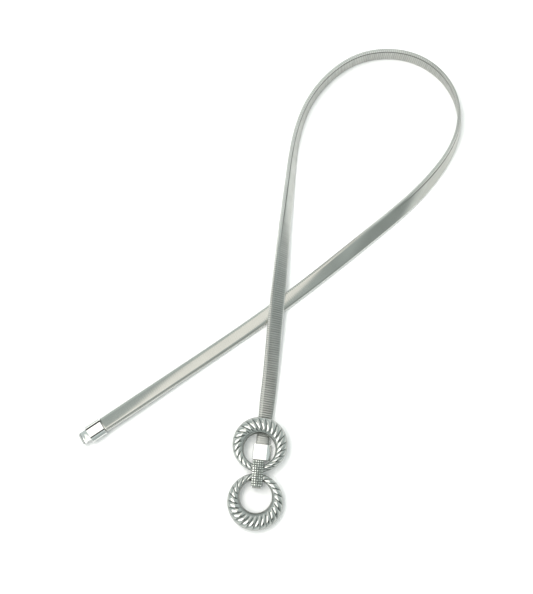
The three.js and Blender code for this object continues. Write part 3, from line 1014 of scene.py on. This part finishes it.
hook = {
    "width": 8.0,
    "thick": 1.1,
    "outerRadius": 2.4,
    "reach": 5.7,
    "drop": 3.98,
    "back": -1.1,
    "cornerRadius": 1.6,
    "softEdge": 0.2,
    "endShade": 0.5,  # painted shade on the far end, where the plate bends down
    "endReach": (1.9, 1.3),  # how far from the tip that begins and is full
    "lean": 0.14,  # how much thinner the plate gets for each millimetre towards the cap
    "plateSteps": 5,
    "bendSteps": 12,
    "lipSteps": 3,
    "sharpAngle": 35,
}


def seatMatrix(s, outward):
    # on the band's end: Y along the given way, Z out of the ribbed face
    centre, along, _, face = [row[0] for row in bandFrames(np.array([s]))]
    axisY = Vector(along) * outward
    axisZ = Vector(face)
    axisX = axisY.cross(axisZ)
    matrix = Matrix((axisX, axisY, axisZ)).transposed().to_4x4()
    matrix.translation = Vector(centre)
    return matrix


def capSide(faceEdge, fall, inset):
    # outline in X and Z for one side, from the middle of the back, with its groove, to the front
    c = cap
    halfBack = c["backWidth"] / 2 - inset
    halfWidth = c["width"] / 2 - inset
    halfHeight = c["height"] / 2 - inset
    halfSide = c["sideHeight"] / 2
    grooveIn = c["grooveAt"] - c["grooveWidth"] / 2
    grooveOut = c["grooveAt"] + c["grooveWidth"] / 2
    floor = c["grooveDepth"] - c["height"] / 2
    front = faceEdge - inset
    corner = c["corners"]
    return [
        (0, fall[0] - halfHeight),
        (grooveIn / 2, fall[1] - halfHeight),
        (grooveIn, fall[2] - halfHeight),
        (grooveIn + corner["grooveFloor"], floor),
        (grooveOut - corner["grooveFloor"], floor),
        (grooveOut, corner["grooveLip"][1] - halfHeight),
        (grooveOut + corner["grooveLip"][0], -halfHeight),
        (halfBack, -halfHeight),
        (halfBack + corner["back"][0], corner["back"][1] - halfHeight),
        (halfWidth - corner["sideBack"][0], -halfSide - corner["sideBack"][1]),
        (halfWidth, corner["side"] - halfSide),
        (halfWidth, halfSide - corner["side"]),
        (halfWidth - corner["sideFront"][0], halfSide + corner["sideFront"][1]),
        (front + corner["front"][0], halfHeight - corner["front"][1]),
        (front - corner["frontFlat"][0], halfHeight),
        (front - corner["frontFlat"][1], halfHeight),
        (0, halfHeight),
    ]


def capOutline(falls, inset):
    one, other = [capSide(edge, fall, inset) for edge, fall in zip(cap["faceEdges"], falls)]
    return np.array(one + [(-x, z) for x, z in other[-2:0:-1]])


def makeCap(name, node, matrix, pocket, falls, material):
    c = cap
    halfLength = c["length"] / 2
    soft = c["softEdge"]
    mouth = (band["endWidth"] / 2 + c["fitGap"], band["endThick"] / 2 + c["fitGap"])
    outer = capOutline(falls, 0)
    inset = capOutline(falls, soft)

    def ringAt(outline, y):
        return np.stack([outline[:, 0], np.full(len(outline), y), outline[:, 1]], axis=1)

    def boxed(low, high):
        return np.stack([
            np.clip(outer[:, 0], low[0], high[0]),
            np.clip(outer[:, 1], low[1], high[1]),
        ], axis=1)

    mouthLoop = boxed((-mouth[0], -mouth[1]), mouth)
    pocketLoop = boxed((-pocket["width"] / 2, pocket["low"]), (pocket["width"] / 2, pocket["high"]))
    rings = [
        ringAt(mouthLoop, -halfLength + c["mouthDepth"]),
        ringAt(mouthLoop, -halfLength),
        ringAt(inset, -halfLength),
        ringAt(outer, -halfLength + soft),
        ringAt(outer, halfLength - soft),
        ringAt(inset, halfLength),
        ringAt(pocketLoop, halfLength),
        ringAt(pocketLoop, halfLength - c["pocketDepth"]),
    ]
    flat = np.concatenate(rings)
    item = makeMesh(name, placed(flat, matrix), skinFaces(len(rings), len(outer), False))
    # painted shade: the floor of each groove is drawn black, for the dark lines along the grooves
    grooveFloor = c["grooveDepth"] - c["height"] / 2
    onFloor = np.abs(flat[:, 2] - grooveFloor) < c["floorMargin"]
    addNumber(item, "shadeAmount", onFloor & (np.abs(flat[:, 0]) > c["grooveAt"] - c["grooveWidth"]))
    cleanMesh(item.data, c["sharpAngle"])
    item.data.materials.append(material)
    finishPiece(item, "polished_cap", node)


def hookLine(tip):
    # middle line of the plate in Y and Z, with its outward way, from inside the cap to the tip;
    # the second row and the last but one end the softened edges
    h = hook
    root = cap["length"] / 2 - cap["pocketDepth"] + cap["fitGap"]
    bendY = tip - h["outerRadius"]
    bendZ = h["back"] + h["outerRadius"]
    radius = h["outerRadius"] - h["thick"] / 2
    end = h["back"] + h["drop"]
    plateY = np.linspace(root, bendY, h["plateSteps"] + 1)
    lipZ = np.linspace(bendZ, end, h["lipSteps"] + 1)[1:]
    rows = []
    for y in (root, root + h["softEdge"], *plateY[1:]):
        rows.append((y, h["back"] + h["thick"] / 2, 0, -1))
    for angle in np.radians(np.linspace(-90, 0, h["bendSteps"] + 1)[1:]):
        way = (math.cos(angle), math.sin(angle))
        rows.append((bendY + radius * way[0], bendZ + radius * way[1], *way))
    for z in (*lipZ[:-1], end - h["softEdge"], end):
        rows.append((tip - h["thick"] / 2, z, 1, 0))
    return rows


def hookLoop(row, tip, inset):
    # the plate's section at one row, with rounded edges
    h = hook
    y, z, wayY, wayZ = row
    soft = h["softEdge"]
    radius = h["cornerRadius"]
    past = max(0.0, y + h["thick"] / 2 * wayY - (tip - radius))
    trim = radius - math.sqrt(max(0.0, radius ** 2 - past ** 2))
    toBend = max(tip - h["outerRadius"] - y, 0)
    fall = h["lean"] * min(toBend, h["reach"] - h["outerRadius"])
    flatX = h["width"] / 2 - trim - inset - soft
    flatN = h["thick"] / 2 - inset - soft
    up = np.radians([0, 30, 60, 90])
    down = up[::-1]
    loop = []
    for sideX, sideN, angles in ((1, 1, up), (-1, 1, down), (-1, -1, up), (1, -1, down)):
        for angle in angles:
            x = sideX * (flatX + soft * math.cos(angle))
            n = sideN * (flatN + soft * math.sin(angle)) - (fall if sideN > 0 else 0)
            loop.append((x, y + n * wayY, z + n * wayZ))
    return loop


def makeHook(material):
    h = hook
    tip = cap["length"] / 2 + h["reach"]
    line = hookLine(tip)
    insets = [h["softEdge"]] + [0] * (len(line) - 2) + [h["softEdge"]]
    points = np.array([hookLoop(row, tip, inset) for row, inset in zip(line, insets)])
    flat = placed(points.reshape(-1, 3), seatMatrix(bandLength, 1))
    item = makeMesh("tipHook", flat, skinFaces(len(points), points.shape[1], False))
    # painted shade towards the bent tip
    shadeFrom, shadeFull = [tip - reach for reach in h["endReach"]]
    addNumber(item, "shadeAmount", h["endShade"] * smoothStep(points[:, :, 1], shadeFrom, shadeFull))
    cleanMesh(item.data, h["sharpAngle"])
    item.data.materials.append(material)
    finishPiece(item, "polished_hook", "tip_hook")


capLook = {
    "bright": (0.78, 0.79, 0.77),
    "dullAndShaded": (0.015, 0.015, 0.015),
    "clouds": 0.02,
    "cloudScale": 120.0,
    "shadeStrength": 0.97,
    "scratchScale": 600.0,
    "roughness": (0.05, 0.1),
    "bump": 0.05,
}

capMetal = metalMaterial("mirrorMetal", capLook)
hookPocket = {
    "width": hook["width"] + 2 * cap["fitGap"],
    "low": hook["back"] - cap["fitGap"],
    "high": hook["back"] + hook["thick"] + cap["fitGap"],
}
tonguePocket = {"width": 5.4, "low": -0.9, "high": 1.0}
makeCap("buckleCap", "buckle_cap", seatMatrix(0, -1), tonguePocket, cap["noFall"], capMetal)
makeCap("tipCap", "tip_cap", seatMatrix(bandLength, 1), hookPocket, cap["tipFall"], capMetal)
makeHook(capMetal)
print("stage: caps and hook")


# studio: pale floor, soft sky that is brightest high at the left, a soft key light and a broad fill

studio = {
    "floorSize": 4.0,
    "floorColour": (0.97, 0.97, 0.97),
    "floorRoughness": 0.9,
    "floorShine": 0.1,
    "key": {"place": (-0.38, 0.22, 0.9), "size": 0.45, "power": 3.2, "colour": (1.0, 0.985, 0.96)},
    "fill": {"place": (0.0, 0.1, 1.0), "size": 4.0, "power": 5.5, "colour": (1.0, 1.0, 1.0)},
    "skyColour": (0.65, 0.72, 0.71),
    "skyPower": 1.0,
}

# soft patches of the sky: way to the middle, cosines where it fades out and where it is full, colour
skyPatches = [
    ((0.0, 0.0, 1.0), 0.5, 0.0, (1.3, 1.35, 1.33)),
    ((0.5, -0.5, 0.7), 0.8, 0.93, (0.48, 0.53, 0.52)),
    ((-0.43, -0.22, 0.875), 0.89, 0.945, (2.8, 2.76, 2.66)),
    ((-0.08, 0.19, 0.975), 0.9848, 0.9936, (1.7, 1.67, 1.6)),
    ((-0.02, 0.36, 0.93), 0.9848, 0.9936, (1.5, 1.48, 1.42)),
    ((-0.02, 0.53, 0.85), 0.9848, 0.9936, (1.5, 1.48, 1.42)),
    ((-0.02, 0.67, 0.74), 0.9848, 0.9936, (1.5, 1.48, 1.42)),
    ((0.15, -0.58, 0.8), 0.955, 0.985, (0.02, 0.02, 0.02)),
]


def makeFloor():
    half = studio["floorSize"] / 2
    mesh = bpy.data.meshes.new("floor")
    corners = [(-half, -half, 0), (half, -half, 0), (half, half, 0), (-half, half, 0)]
    mesh.from_pydata(corners, [], [(0, 1, 2, 3)])
    item = addObject("floor", mesh)
    material = bpy.data.materials.new("paleFloor")
    material.use_nodes = True
    shader = material.node_tree.nodes["Principled BSDF"]
    shader.inputs["Base Color"].default_value = (*studio["floorColour"], 1)
    shader.inputs["Roughness"].default_value = studio["floorRoughness"]
    shader.inputs["Specular IOR Level"].default_value = studio["floorShine"]
    mesh.materials.append(material)


def makeLight(name):
    look = studio[name]
    data = bpy.data.lights.new(name, "AREA")
    data.shape = "DISK"
    data.size = look["size"]
    data.energy = look["power"]
    data.color = look["colour"]
    item = addObject(name, data)
    item.location = look["place"]
    item.rotation_euler = Vector(look["place"]).to_track_quat("Z", "Y").to_euler()
    item.visible_glossy = False


def makeSky():
    world = bpy.data.worlds.new("studioSky")
    bpy.context.scene.world = world
    world.use_nodes = True
    tree = world.node_tree
    light = tree.nodes["Background"]
    light.inputs["Strength"].default_value = studio["skyPower"]
    place = tree.nodes.new("ShaderNodeTexCoord")
    before = None
    for way, faint, full, colour in skyPatches:
        dot = tree.nodes.new("ShaderNodeVectorMath")
        dot.operation = "DOT_PRODUCT"
        dot.inputs[1].default_value = Vector(way).normalized()
        tree.links.new(place.outputs["Generated"], dot.inputs[0])
        fade = tree.nodes.new("ShaderNodeMapRange")
        fade.interpolation_type = "SMOOTHSTEP"
        fade.inputs["From Min"].default_value = faint
        fade.inputs["From Max"].default_value = full
        tree.links.new(dot.outputs["Value"], fade.inputs["Value"])
        mix = tree.nodes.new("ShaderNodeMix")
        mix.data_type = "RGBA"
        mix.inputs["A"].default_value = (*studio["skyColour"], 1)
        mix.inputs["B"].default_value = (*colour, 1)
        if before is not None:
            tree.links.new(before, mix.inputs["A"])
        tree.links.new(fade.outputs[0], mix.inputs["Factor"])
        before = mix.outputs["Result"]
    tree.links.new(before, light.inputs["Color"])


makeFloor()
makeLight("key")
makeLight("fill")
makeSky()
bpy.context.scene.view_settings.view_transform = "Standard"
print("stage: studio")

bpy.context.view_layer.update()
